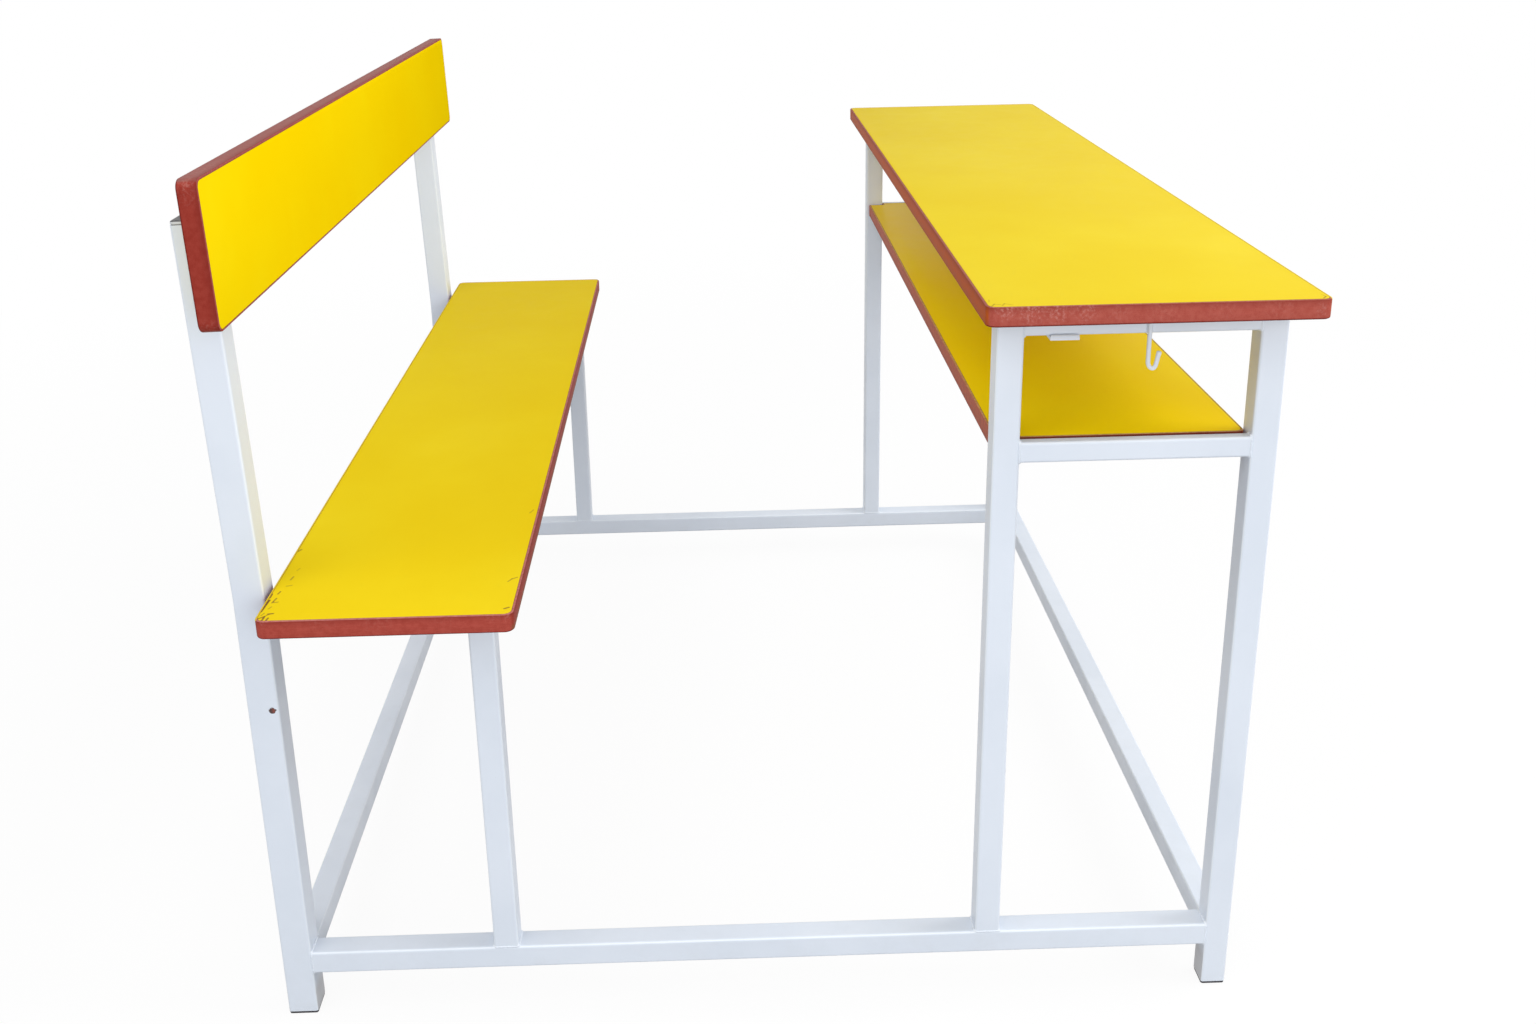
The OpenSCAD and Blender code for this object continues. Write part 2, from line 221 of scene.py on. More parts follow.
def makeFramePaint(name, chips=()):
    paint = framePaint
    material, shader, place = newFinish(name, {"IOR": 1.5})
    (cloudScale, cloudy), (speckScale, specky), (dustScale, dusty) = (
        paint[layer] for layer in ("clouds", "specks", "dusting"))
    high = place.part(2)
    cloud = place.noise(cloudScale, 4).ease(0.35, 0.7)
    speck = place.noise(speckScale, 2, 0.7).ease(0.74, 0.8)
    dust = (1 - high.ease(0.0, paint["dustTop"])) * place.noise(dustScale, 5, 0.7).ease(0.45, 0.75)
    colour = (cloud * cloudy).blend(paint["coat"], paint["thin"])
    colour = (dust * dusty + speck * specky).blend(colour, paint["dust"])
    normal = place.node("ShaderNodeNewGeometry", out=1)
    flat = abs(normal.part(0)).highest(abs(normal.part(1))).highest(abs(normal.part(2)))
    # painted highlight: paler where the normal lies between the axes, on the tubes' rounded corners
    colour = ((1 - flat.ease(0.72, 0.9)) * paint["arrisStrength"]).blend(colour, paint["arris"])
    # painted shade: darker on front and rear faces near the floor, fading out with height
    nearFloor = 1 - (high + cloud * paint["paintedShadeWave"]).ease(*paint["paintedShadeFade"])
    paintedShade = abs(normal.part(1)).ease(0.7, 0.9) * nearFloor * paint["paintedShadeStrength"]
    colour = paintedShade.blend(colour, paint["paintedShade"])
    relief = place.noise(paint["peelScale"], 2) * 0.5 + place.noise(paint["waveScale"], 3) * 0.5
    for spot, size in chips:
        ragged = (place.noise(paint["chipScale"], 4, 0.7) - 0.5) * size * paint["chipRagged"]
        away = place.awayFrom(spot) + ragged
        colour = (1 - away.ease(size * 0.86, size)).blend(colour, paint["rim"])
        # painted shade over the chip's half towards +Y
        shaded = place.part(1).ease(spot.y - size * 0.4, spot.y + size * 0.4)
        bare = shaded.blend(paint["primer"], paint["rim"])
        colour = (1 - away.ease(size * 0.55, size * 0.8)).blend(colour, bare)
        relief = relief - (1 - away.ease(size * 0.8, size)) * paint["chipDepth"]
    plug(shader.inputs["Base Color"], colour)
    plug(shader.inputs["Roughness"], 0.34 + cloud * 0.08 + dust * 0.2)
    addBump(shader, relief, paint["peelDepth"])
    return material


# Plain two-tone finishes of the small and hidden parts
plainLooks = {    # both tones, lumps to the metre, roughness, depth of the bumps, metal
    "foot_plastic": (shade(40, 38, 46), shade(28, 27, 32), 60, 0.5, 0.05 * mm, 0.0),
    "zinc_screw": (shade(188, 191, 196), shade(160, 163, 170), 150, 0.28, 0.02 * mm, 1.0),
    "board_core": (shade(200, 164, 112), shade(168, 130, 84), 320, 0.75, 0.2 * mm, 0.0),
    "brown_backer": (shade(186, 157, 126), shade(173, 142, 112), 60, 0.55, 0.03 * mm, 0.0),
}


def makePlain(name, base, other, scale, rough, depth, metal):
    material, shader, place = newFinish(name, {"Metallic": metal})
    mottle = place.noise(scale, 4, 0.6)
    plug(shader.inputs["Base Color"], mottle.ease(0.35, 0.7).blend(base, other))
    plug(shader.inputs["Roughness"], rough + mottle * 0.15)
    addBump(shader, place.noise(scale * 6, 2), depth)
    return material


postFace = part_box("right_rear_post")[0].x
postChips = [(Vector((postFace, y * mm, z * mm)), size * mm) for y, z, size in framePaint["chips"]]
whitePaint = makeFramePaint("white_frame_paint")
chippedPaint = makeFramePaint("white_frame_paint_chipped", postChips)
plain = {name: makePlain(name, *look) for name, look in plainLooks.items()}
print("paint and plain finishes made")


# Boards: a laminate sheet let into a band with eased arrises
board = {
    "corner": 9 * mm,
    "cornerSteps": 10,
    "band": 2 * mm,
    "sheet": 1 * mm,
    "lowArris": (1.7 * mm, 5),     # size of the easing and its steps, as are the next two
    "topArris": (1.2 * mm, 3),
    "sheetArris": (0.4 * mm, 2),
    "shelfGap": 1 * mm,            # between the shelf and the legs that it is notched round
}
seatLow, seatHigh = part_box("seat_edge_band")
deskLow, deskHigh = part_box("desktop_edge_band")
shelfLow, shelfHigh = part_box("shelf_edge_band")
backLow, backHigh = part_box("backrest_edge_band")
boardThick = seatHigh.z - seatLow.z

leanAxis = Vector(mounts["backrest_face"]["axis"])    # out of the backrest's front face
leanPlace = Vector(mounts["backrest_face"]["pos_m"])
leanUp = Vector(alongX).cross(leanAxis) * -1
leanTurn = Matrix((Vector(alongX), leanUp, leanAxis)).transposed().to_4x4()
halfLong = backHigh.x
halfTall = (backHigh.z - backLow.z - boardThick * leanAxis.z) / leanUp.z / 2


# Yellow plastic laminate: satin, faintly clouded, with scuffs where hands and bags pass
laminateFinish = {
    "scuff": shade(108, 66, 50),
    "glue": shade(124, 66, 52),    # dark line round the sheet
    "cloudScale": 4,               # lumps to the metre, as are the next four
    "brokenScale": 330,            # gaps in the scuffs
    "satinScale": 45,
    "waveScale": 60,
    "grainScale": 900,
    "grainDepth": 0.03 * mm,
}
litLaminateTones = {    # each board's main tone, and the warm and pale tones of its clouds: one laminate toned per board to how it is lit, the desktop's paler with a painted sheen, the shelf's and backrest's at full yellow against their shade
    "desktop": (shade(233, 208, 52), shade(230, 202, 46), shade(237, 214, 64)),
    "seat": (shade(238, 210, 30), shade(235, 204, 24), shade(242, 216, 44)),
    "shelf": (shade(255, 223, 9), shade(254, 217, 4), shade(255, 227, 22)),
    "backrest": (shade(255, 223, 8), shade(254, 217, 2), shade(255, 228, 24)),
}


def strokeMask(place, start, end, width):  # a soft mark drawn from start to end
    start, end = Vector(start), Vector(end)
    along = end - start
    apart = place.node("ShaderNodeVectorMath", {"operation": "SUBTRACT"}, {0: place, 1: start})
    share = apart.along(along / along.length_squared).highest(0).lowest(1)
    nearest = share.node("ShaderNodeVectorMath", {"operation": "SCALE"}, {0: along, "Scale": share})
    return 1 - apart.awayFrom(nearest).ease(width * 0.3, width)


def makeLaminate(name, tones, faceAxis, gloss, strokes=()):
    finish = laminateFinish
    yellow, warm, pale = tones
    material, shader, place = newFinish(name, {"IOR": 1.48, "Specular IOR Level": gloss})
    cloud = place.noise(finish["cloudScale"], 4)
    colour = cloud.ease(0.3, 0.7).blend(warm, yellow)
    colour = (cloud.ease(0.55, 0.8) * 0.5).blend(colour, pale)
    broken = place.noise(finish["brokenScale"], 3, 0.6).ease(0.28, 0.44)
    for start, end, width, strength in strokes:
        scuff = strokeMask(place, start, end, width) * broken * strength
        colour = scuff.blend(colour, finish["scuff"])
    facing = place.node("ShaderNodeNewGeometry", out=1).along(faceAxis)
    colour = facing.ease(0.85, 0.99).blend(finish["glue"], colour)
    grain = place.noise(finish["grainScale"], 2)
    plug(shader.inputs["Base Color"], colour)
    plug(shader.inputs["Roughness"], 0.32 + place.noise(finish["satinScale"], 4, 0.6) * 0.12 + grain * 0.04)
    addBump(shader, grain * 0.5 + place.noise(finish["waveScale"], 3) * 1.5, finish["grainDepth"])
    return material


# Red-brown edge bands: finely mottled, faintly streaked along their run, chalky where they are rubbed, with
# lines of painted shade, and painted reflections on their long edges
bandFinish = {
    "light": shade(188, 92, 80),       # streaks
    "shadeLine": shade(112, 32, 26),   # painted shade under the worn arris and along the bottom
    "lineStrength": 0.6,
    "chalk": shade(204, 148, 138),
    "acrossScale": 1100,               # lumps to the metre, as are the next six
    "runScale": 70,
    "fineScale": 1300,
    "patchScale": 170,
    "rimScale": 240,
    "chalkScale": 420,
    "wornScale": 360,
    "fade": (14 * mm, 8 * mm),         # depths under the face between which low turns to high
    "fadeWave": 3 * mm,
    "rimSoftness": 0.5 * mm,           # of the laminate's edge over a rim
    "grainDepth": 0.05 * mm,
}
bandLooks = {    # high and low are the upper and lower parts of the long edges, tinted with painted reflections of the boards and floor round them
    "seat": {
        "red": shade(177, 79, 68), "deep": shade(164, 68, 57), "high": shade(158, 64, 52),
        "low": shade(142, 90, 64), "rim": shade(188, 116, 110), "laminateRim": shade(224, 192, 36),
        "streaky": 0.45, "chalky": 0.25,
    },
    "desktop": {
        "red": shade(180, 91, 79), "deep": shade(168, 77, 66), "high": shade(188, 91, 34),
        "low": shade(176, 87, 38), "rim": shade(170, 98, 86), "laminateRim": shade(224, 196, 58),
        "streaky": 0.3, "chalky": 0.3,
    },
    "backrest": {
        "red": shade(158, 62, 51), "deep": shade(146, 51, 41), "high": shade(152, 99, 93),
        "low": shade(147, 96, 91), "rim": shade(164, 80, 76),
        "streaky": 0.06, "chalky": 0.15,
    },
    "shelf": {
        "red": shade(122, 66, 48), "deep": shade(108, 56, 42), "high": shade(192, 106, 84),
        "low": shade(180, 96, 74), "rim": shade(118, 66, 48), "laminateRim": shade(196, 160, 44),
        "longRim": shade(206, 156, 104),    # the long edges' own rim, without the dark line under it
        "streaky": 0.2, "chalky": 0.0,
    },
}


def streaks(place, run):  # noise drawn out along the axis run
    scale = tuple(bandFinish["runScale"] if reach else bandFinish["acrossScale"] for reach in run)
    return place.stretch(scale).noise(1, 3, 0.6)


def makeBand(name, look, endRun, faceAxis, face, rubs=(), backEdge=None):
    # faceAxis points out of the laminate, and face is where its face lies along it;
    # the streaks run along X on the long edges and along endRun on the two ends
    finish = bandFinish
    material, shader, place = newFinish(name, {"IOR": 1.46, "Specular IOR Level": 0.04})
    normal = place.node("ShaderNodeNewGeometry", out=1)
    facing = normal.along(faceAxis)
    onEnd = abs(normal.part(0)).ease(0.5, 0.8)
    streak = streaks(place, alongX) * (1 - onEnd) + streaks(place, endRun) * onEnd
    fine = place.noise(finish["fineScale"], 3, 0.65)
    patch = place.noise(finish["patchScale"], 4, 0.6)
    tone = (fine * 0.45 + patch * 0.55).ease(0.38, 0.6)
    colour = tone.blend(look["deep"], look["red"])

    # painted reflection: the long edges' upper and lower parts tinted by the boards and floor round them
    fadeStart, fadeEnd = (face - depth for depth in finish["fade"])
    above = (place.along(faceAxis) + patch * finish["fadeWave"]).ease(fadeStart, fadeEnd)
    reflectedTone = above.blend(look["low"], look["high"])
    reflectedTone = ((1 - tone) * 0.45).blend(reflectedTone, look["deep"])
    colour = ((1 - onEnd) * (1 - abs(facing).ease(0.6, 0.85))).blend(colour, reflectedTone)
    colour = (streak.ease(0.5, 0.72) * look["streaky"] * (0.4 + 0.6 * onEnd)).blend(colour, finish["light"])
    line = finish["lineStrength"] * onEnd if "longRim" in look else finish["lineStrength"]
    # painted shade: a dark line just under the upper arris, and on the downward-facing lower arris
    colour = (facing.ease(0.03, 0.2) * line).blend(colour, finish["shadeLine"])
    colour = ((facing * -1).ease(0.05, 0.32) * 0.85).blend(colour, finish["shadeLine"])

    rim = facing.ease(0.35, 0.75) * (0.6 + 0.4 * place.noise(finish["rimScale"], 4, 0.7).ease(0.35, 0.6))
    rimTone = onEnd.blend(look.get("longRim", look["rim"]), look["rim"])
    inside = 1
    if backEdge:    # y and way inwards of the long edge whose rim the laminate reaches over
        edge, inwards = backEdge
        inside = (place.part(1) - edge) * inwards
        inside = inside.ease(board["band"], board["band"] + finish["rimSoftness"])
        rimTone = inside.blend(look["laminateRim"], rimTone)
        rim = rim.highest((1 - inside) * facing.ease(0.1, 0.4))
    colour = rim.blend(colour, rimTone)
    chalky = place.noise(finish["chalkScale"], 3, 0.7).ease(0.56, 0.7) * look["chalky"]
    colour = (facing.ease(0.35, 0.75) * chalky * inside).blend(colour, finish["chalk"])
    worn = place.noise(finish["wornScale"], 4, 0.65).ease(0.46, 0.66)
    for spot, reach, strength in rubs:     # chalky patches, strongest at their middle
        rub = (1 - place.awayFrom(spot).ease(reach * 0.15, reach)) * worn * strength
        colour = rub.blend(colour, finish["chalk"])
    plug(shader.inputs["Base Color"], colour)
    plug(shader.inputs["Roughness"], 0.42 + patch * 0.2)
    addBump(shader, streak + fine * 0.6, finish["grainDepth"])
    return material


# Marks of use: their places are in millimetres on the board that they are on, and so are their sizes

def onSeat(fromNearEnd, fromRear):  # on the seat's face, from its near rear corner
    return (seatLow.x + fromNearEnd * mm, seatHigh.y - fromRear * mm, seatHigh.z)


def onDesk(fromNearEnd, fromSitter, down=0):  # the same on the desktop, and down from its face
    return (deskLow.x + fromNearEnd * mm, deskHigh.y - fromSitter * mm, deskHigh.z - down * mm)


def onBackrest(fromNearEnd, above):  # at half its thickness, above its middle
    nearEnd = leanPlace - leanAxis * boardThick / 2 - Vector((halfLong, 0, 0))
    return nearEnd + leanUp * above * mm + Vector((fromNearEnd * mm, 0, 0))


seatScuffs = [    # start, end, width, strength
    ((20, 2), (43, 3.5), 1.7, 0.95), ((47, 2.5), (55, 2.5), 1.5, 0.85), ((37, 7.5), (46, 9), 1.3, 0.75),
    ((37.5, 9), (38.5, 12.5), 1.2, 0.6), ((55, 8), (60, 9), 1.3, 0.65), ((71, 12), (72.5, 16.5), 1.6, 0.35),
    ((84, 12), (91, 13), 1.4, 0.5), ((25, 7.5), (29, 9), 1.2, 0.45), ((15, 10), (15.5, 14), 1.8, 0.75),
    ((6, 3), (10.5, 8), 1.4, 0.8), ((10.5, 8), (14, 11), 1.1, 0.6), ((2.5, 7.5), (8.5, 8), 1.5, 0.85),
    ((2.5, 11.5), (7, 12), 1.4, 0.85), ((12, 4.5), (17, 6), 1, 0.5), ((148, 2.5), (152, 4.5), 2.2, 0.5),
    ((104, 13), (109, 14.5), 1.2, 0.25), ((67.5, 219.5), (73, 222.5), 1.3, 0.5),
    ((73, 222.5), (76, 227), 1.3, 0.55), ((12.5, 223), (14.5, 226.5), 1.8, 0.7),
    ((228, 222.5), (236, 225.5), 1.4, 0.35),
]
deskScuffs = [
    ((5, 5), (11, 8), 1.2, 0.4), ((11, 8), (9, 13), 1.1, 0.35), ((6, 14), (12, 17), 1.1, 0.4),
    ((12, 17), (7, 23), 1.1, 0.3), ((18, 5), (25, 6), 1.1, 0.25), ((4, 287), (9, 291), 1.2, 0.5),
    ((9, 291), (15, 290), 1.1, 0.4),
]
seatRubs = [    # place, reach, strength
    ((0, 214), 10, 0.15), ((0, 226), 10, 0.22), ((0, 170), 20, 0.08), ((0, 110), 24, 0.1),
    ((0, 60), 20, 0.1), ((0, 8), 10, 0.2),
]
deskRubs = [
    ((0, 16, 4), 13, 0.55), ((0, 38, 5), 17, 0.6), ((0, 60, 5), 16, 0.55), ((0, 84, 5), 16, 0.4),
    ((0, 112, 9), 16, 0.15), ((0, 150, 6), 20, 0.12), ((0, 200, 8), 20, 0.1), ((0, 250, 8), 20, 0.12),
    ((0, 286, 9), 10, 0.3),
]
backRubs = [((0, 63), 12, 0.25), ((0, 50), 12, 0.1), ((0, -60), 12, 0.15), ((50, 66), 60, 0.2)]


def placeScuffs(spot, marks):
    return [(spot(*start), spot(*end), width * mm, strength) for start, end, width, strength in marks]


def placeRubs(spot, marks):
    return [(spot(*place), reach * mm, strength) for place, reach, strength in marks]


laminates = {
    "desktop": makeLaminate("yellow_laminate_desktop", litLaminateTones["desktop"], up, 0.003,
                            placeScuffs(onDesk, deskScuffs)),
    "seat": makeLaminate("yellow_laminate_seat", litLaminateTones["seat"], up, 0.003,
                         placeScuffs(onSeat, seatScuffs)),
    "shelf": makeLaminate("yellow_laminate_shelf", litLaminateTones["shelf"], up, 0.03),
    "backrest": makeLaminate("yellow_laminate_backrest", litLaminateTones["backrest"], leanAxis, 0.0),
    "backer": makeLaminate("yellow_backer", litLaminateTones["backrest"], -leanAxis, 0.01),
}
bands = {
    "desktop": makeBand("red_edge_band_desktop", bandLooks["desktop"], alongY, up, deskHigh.z,
                        placeRubs(onDesk, deskRubs), (deskLow.y, 1)),
    "seat": makeBand("red_edge_band_seat", bandLooks["seat"], alongY, up, seatHigh.z,
                     placeRubs(onSeat, seatRubs), (seatHigh.y, -1)),
    "shelf": makeBand("brown_edge_band_shelf", bandLooks["shelf"], alongY, up, shelfHigh.z,
                      (), (shelfLow.y, 1)),
    "backrest": makeBand("red_edge_band_backrest", bandLooks["backrest"], up, leanAxis,
                         leanPlace.dot(leanAxis), placeRubs(onBackrest, backRubs)),
}
print("laminates and bands made")


def finishPiece(bm, name, material, replaced=(), angle=35):  # edges sharper than angle stay sharp
    bmesh.ops.remove_doubles(bm, verts=bm.verts, dist=sameSpot)
    bmesh.ops.recalc_face_normals(bm, faces=bm.faces)
    mesh = bpy.data.meshes.new(name)
    bm.to_mesh(mesh)
    bm.free()
    mesh.materials.append(material)
    mesh.shade_smooth()
    mesh.set_sharp_from_angle(angle=math.radians(angle))
    piece = bpy.data.objects.new(name, mesh)
    bpy.context.scene.collection.objects.link(piece)
    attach(piece, "root")
    if replaced:
        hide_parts(*replaced)


def bevelEdges(bm, edges, offset, segments):
    bmesh.ops.bevel(bm, geom=edges, offset=offset, segments=segments, profile=0.5,
                    affect="EDGES", material=-1)


def rectangle(left, front, right, rear):
    return [(left, front), (right, front), (right, rear), (left, rear)]


def planFace(corners, radii, steps):  # a flat face with its corners rounded
    bm = bmesh.new()
    verts = [bm.verts.new((x, y, 0)) for x, y in corners]
    bm.faces.new(verts)
    for vert, radius in zip(verts, radii):
        if radius:
            bmesh.ops.bevel(bm, geom=[vert], offset=radius, segments=steps, profile=0.5,
                            affect="VERTICES", material=-1)
    return bm


def thicken(bm, low, high):  # the flat face becomes a slab from low to high
    bmesh.ops.translate(bm, verts=bm.verts, vec=(0, 0, low))
    grown = bmesh.ops.extrude_face_region(bm, geom=bm.faces[:])
    bmesh.ops.translate(bm, vec=(0, 0, high - low),
                        verts=[item for item in grown["geom"] if isinstance(item, bmesh.types.BMVert)])
    bmesh.ops.recalc_face_normals(bm, faces=bm.faces)


def edgesAt(bm, height):  # the edges that lie at a height
    return [edge for edge in bm.edges if all(abs(vert.co.z - height) < tolerance for vert in edge.verts)]


def makeBoard(node, corners, radii, thick, place):
    # corners run round the plan at z = 0; the laminate's face is at z = thick before place is applied
    ring = planFace(corners, radii, board["cornerSteps"])
    thicken(ring, 0, thick)
    topEdges, lowEdges = edgesAt(ring, thick), edgesAt(ring, 0)
    flats = [face for face in ring.faces if abs(face.normal.z) > 0.9]
    bmesh.ops.inset_region(ring, faces=flats, thickness=board["band"], use_even_offset=True)
    inner = [edge for face in flats for edge in face.edges]
    bmesh.ops.delete(ring, geom=flats, context="FACES_ONLY")
    bmesh.ops.bridge_loops(ring, edges=inner)
    bevelEdges(ring, lowEdges, *board["lowArris"])
    bevelEdges(ring, topEdges, *board["topArris"])
    bmesh.ops.transform(ring, matrix=place, verts=ring.verts)
    finishPiece(ring, node + "_eased_band", bands[node], [node + "_edge_band"], angle=50)

    sheet = planFace(corners, radii, board["cornerSteps"])
    edging = bmesh.ops.inset_region(sheet, faces=sheet.faces[:], thickness=board["band"],
                                    use_even_offset=True, use_boundary=True)["faces"]
    bmesh.ops.delete(sheet, geom=edging, context="FACES")
    thicken(sheet, thick - board["sheet"], thick)
    bevelEdges(sheet, edgesAt(sheet, thick), *board["sheetArris"])
    bmesh.ops.transform(sheet, matrix=place, verts=sheet.verts)
    finishPiece(sheet, node + "_laminate_sheet", laminates[node], [node + "_laminate"],
                angle=50)


def flatBoard(node, corners, radii):
    low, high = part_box(node + "_edge_band")
    makeBoard(node, corners, radii, high.z - low.z, Matrix.Translation((0, 0, low.z)))


flatBoard("desktop", rectangle(deskLow.x, deskLow.y, deskHigh.x, deskHigh.y), [board["corner"]] * 4)
flatBoard("seat", rectangle(seatLow.x, seatLow.y, seatHigh.x, seatHigh.y), [board["corner"]] * 4)

notchX = shelfHigh.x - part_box("left_desk_back_leg")[0].x + board["shelfGap"]
notchY = shelfHigh.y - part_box("left_desk_back_leg")[0].y + board["shelfGap"]
shelfPlan = [
    (shelfLow.x, shelfLow.y), (shelfHigh.x, shelfLow.y),
    (shelfHigh.x, shelfHigh.y - notchY), (shelfHigh.x - notchX, shelfHigh.y - notchY),
    (shelfHigh.x - notchX, shelfHigh.y), (shelfLow.x + notchX, shelfHigh.y),
    (shelfLow.x + notchX, shelfHigh.y - notchY), (shelfLow.x, shelfHigh.y - notchY),
]
flatBoard("shelf", shelfPlan, [board["corner"]] * 2 + [0] * 6)

makeBoard("backrest", rectangle(-halfLong, -halfTall, halfLong, halfTall), [board["corner"]] * 4, boardThick,
          Matrix.Translation(leanPlace - leanAxis * boardThick) @ leanTurn)
print("boards made")


# Weld beads: low lumpy ropes round the tubes' ends, painted over with the frame
weld = {
    "corner": 1.9 * mm,     # bead's radius in an inner corner
    "level": 1.3 * mm,      # the same where the two faces are level
    "levelWithin": 0.3 * mm,    # two faces this close count as level
    "sink": 0.55 * mm,      # how deep a level bead lies in the steel
    "lump": 4.2 * mm,       # length of one ripple
    "ripple": 0.22,         # share of the radius
    "uneven": 0.3,          # share of a ripple that is random
    "jitter": 0.12 * mm,
    "step": 0.8 * mm,
    "cut": 2.0 * mm,        # how far the bead cuts the tube's corners
    "tab": 2.4 * mm,        # radius of the bead over a tab that shows outside its rail
    "tabOut": 2.0 * mm,     # its place, out from the rail's face and up from the rail's bottom
    "tabUp": -0.5 * mm,
    "tabInset": 0.5 * mm,   # from the tab's ends
    "tabRipple": 0.06,
    "lugInset": 1 * mm,
    "hookStart": (1 * mm, 1.4 * mm),    # distance from the hook's top and radius
    "hookEnd": (2 * mm, 1.2 * mm),      # distance from the rail's bottom and radius
    "hookSides": (0.88, 0.12),          # shares of the rod
    "seed": 7,
}
joints = [    # tube, its axis, its low end 0 or high end 1, and what it is welded to
    ("bottom_rail", 1, 0, "desk_front_leg"), ("bottom_rail", 1, 1, "rear_post"),
    ("seat_leg", 2, 0, "bottom_rail"), ("desk_back_leg", 2, 0, "bottom_rail"),
    ("desk_rail", 1, 0, "desk_front_leg"), ("desk_rail", 1, 1, "desk_back_leg"),
    ("shelf_rail", 1, 0, "desk_front_leg"), ("shelf_rail", 1, 1, "desk_back_leg"),
    ("seat_rail", 1, 0, "seat_leg"), ("seat_rail", 1, 1, "rear_post"),
]
crossJoints = [
    ("rear_stretcher", "rear_post"), ("front_stretcher", "desk_front_leg"), ("seat_bearer", "seat_rail"),
]
dice = random.Random(weld["seed"])


def newRope(name, smoothness=2):  # a curve whose point radii are millimetres
    curve = bpy.data.curves.new(name, "CURVE")
    curve.dimensions = "3D"
    curve.bevel_depth = mm
    curve.bevel_resolution = smoothness
    curve.use_fill_caps = True
    return curve


def addStrand(curve, points, closed=False):  # points with their radii
    strand = curve.splines.new("POLY")
    strand.points.add(len(points) - 1)
    strand.use_cyclic_u = closed
    for point, (place, radius) in zip(strand.points, points):
        point.co = (*place, 1)
        point.radius = radius / mm


def ropePiece(curve, name, material, replaced=()):
    rope = bpy.data.objects.new(name + "_rope", curve)
    bpy.context.scene.collection.objects.link(rope)
    bpy.context.view_layer.update()
    bm = bmesh.new()
    shape = bpy.data.meshes.new_from_object(rope)
    bm.from_mesh(shape)
    bpy.data.objects.remove(rope)
    bpy.data.meshes.remove(shape)
    finishPiece(bm, name, material, replaced, angle=60)


def walk(points, closed):  # evenly stepped points along straight runs, each with its radius
    trail = []
    for index, (start, radius) in enumerate(points):
        if index + 1 == len(points) and not closed:
            trail.append((start, radius))
            break
        end, endRadius = points[(index + 1) % len(points)]
        steps = max(1, round((end - start).length / weld["step"]))
        shares = [i / steps for i in range(steps)]
        trail += [(start.lerp(end, share), radius + (endRadius - radius) * share) for share in shares]
    return trail


def addBead(curve, points, closed=False, ripple=weld["ripple"]):
    trail = []
    for index, (place, radius) in enumerate(walk(points, closed)):
        wave = abs(math.sin(math.pi * index * weld["step"] / weld["lump"]))
        swell = 1 - ripple + ripple * wave + dice.uniform(-weld["uneven"], weld["uneven"]) * ripple
        jitter = Vector([dice.uniform(-1, 1) * weld["jitter"] for axis in range(3)])
        trail.append((place + jitter, radius * swell))
    addStrand(curve, trail, closed)


def addRun(curve, start, end, radius, ripple=weld["ripple"]):  # a straight bead of one radius
    addBead(curve, [(Vector(start), radius), (Vector(end), radius)], ripple=ripple)


def weldEnd(curve, node, axis, end, mate):  # a bead round one end of a tube
    corners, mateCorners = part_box(node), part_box(mate)
    u, v = [i for i in range(3) if i != axis]    # the axes across the tube
    level, reach = {}, {}
    for side in (u, v):
        for face in (0, 1):
            level[side, face] = abs(corners[face][side] - mateCorners[face][side]) < weld["levelWithin"]
            inward = (1 - 2 * face) * weld["sink"] * level[side, face]
            reach[side, face] = corners[face][side] + inward
    points = []
    for uFace, vFace, arriving, leaving in ((0, 0, v, u), (1, 0, u, v), (1, 1, v, u), (0, 1, u, v)):
        faces = {u: uFace, v: vFace}
        corner = Vector((0, 0, 0))
        corner[axis] = corners[end][axis]
        corner[u], corner[v] = reach[u, uFace], reach[v, vFace]
        for run, side in ((arriving, leaving), (leaving, arriving)):    # the run lies on that side's face
            place = corner.copy()
            place[run] += (1 - 2 * faces[run]) * weld["cut"]
            points.append((place, weld["level"] if level[side, faces[side]] else weld["corner"]))
    addBead(curve, points, closed=True)


def looseParts(node):  # the corners of each separate solid in a CAD node, as lists of points
    bm = bmesh.new()
    bm.from_mesh(nodes[node].data)
    bmesh.ops.remove_doubles(bm, verts=bm.verts, dist=tolerance)
    parts, seen = [], set()
    for first in bm.verts:
        part, waiting = [], [first]
        while waiting:
            vert = waiting.pop()
            if vert not in seen:
                seen.add(vert)
                part.append(vert.co.copy())
                waiting += [link.other_vert(vert) for link in vert.link_edges]
        if part:
            parts.append(part)
    bm.free()
    return sorted(parts, key=lambda part: [round(min(point[i] for point in part), 4) for i in (0, 1)])


def span(points, axis):  # least and greatest reach of points along an axis
    reaches = [point.dot(Vector(axis)) for point in points]
    return min(reaches), max(reaches)


def railFace(side):  # x of the desk rail's outer face, and which way is out
    low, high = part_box(side + "_desk_rail")
    return (low.x, -1) if side == "right" else (high.x, 1)


def weldTabs(curve, side):
    low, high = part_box(side + "_desk_rail")
    outer, outwards = railFace(side)
    for part in looseParts(side + "_desk_tabs"):
        left, right = span(part, alongX)
        front, rear = span(part, alongY)
        if span(part, (outwards, 0, 0))[1] > outer * outwards + mm:   # over a tab that shows outside the rail
            x, z = outer + outwards * weld["tabOut"], low.z + weld["tabUp"]
            addRun(curve, (x, front + weld["tabInset"], z), (x, rear - weld["tabInset"], z), weld["tab"],
                   ripple=weld["tabRipple"])
        for y in (front, rear):    # the tab's two edges under the rail
            addRun(curve, (max(left, low.x), y, low.z), (min(right, high.x), y, low.z), weld["level"])


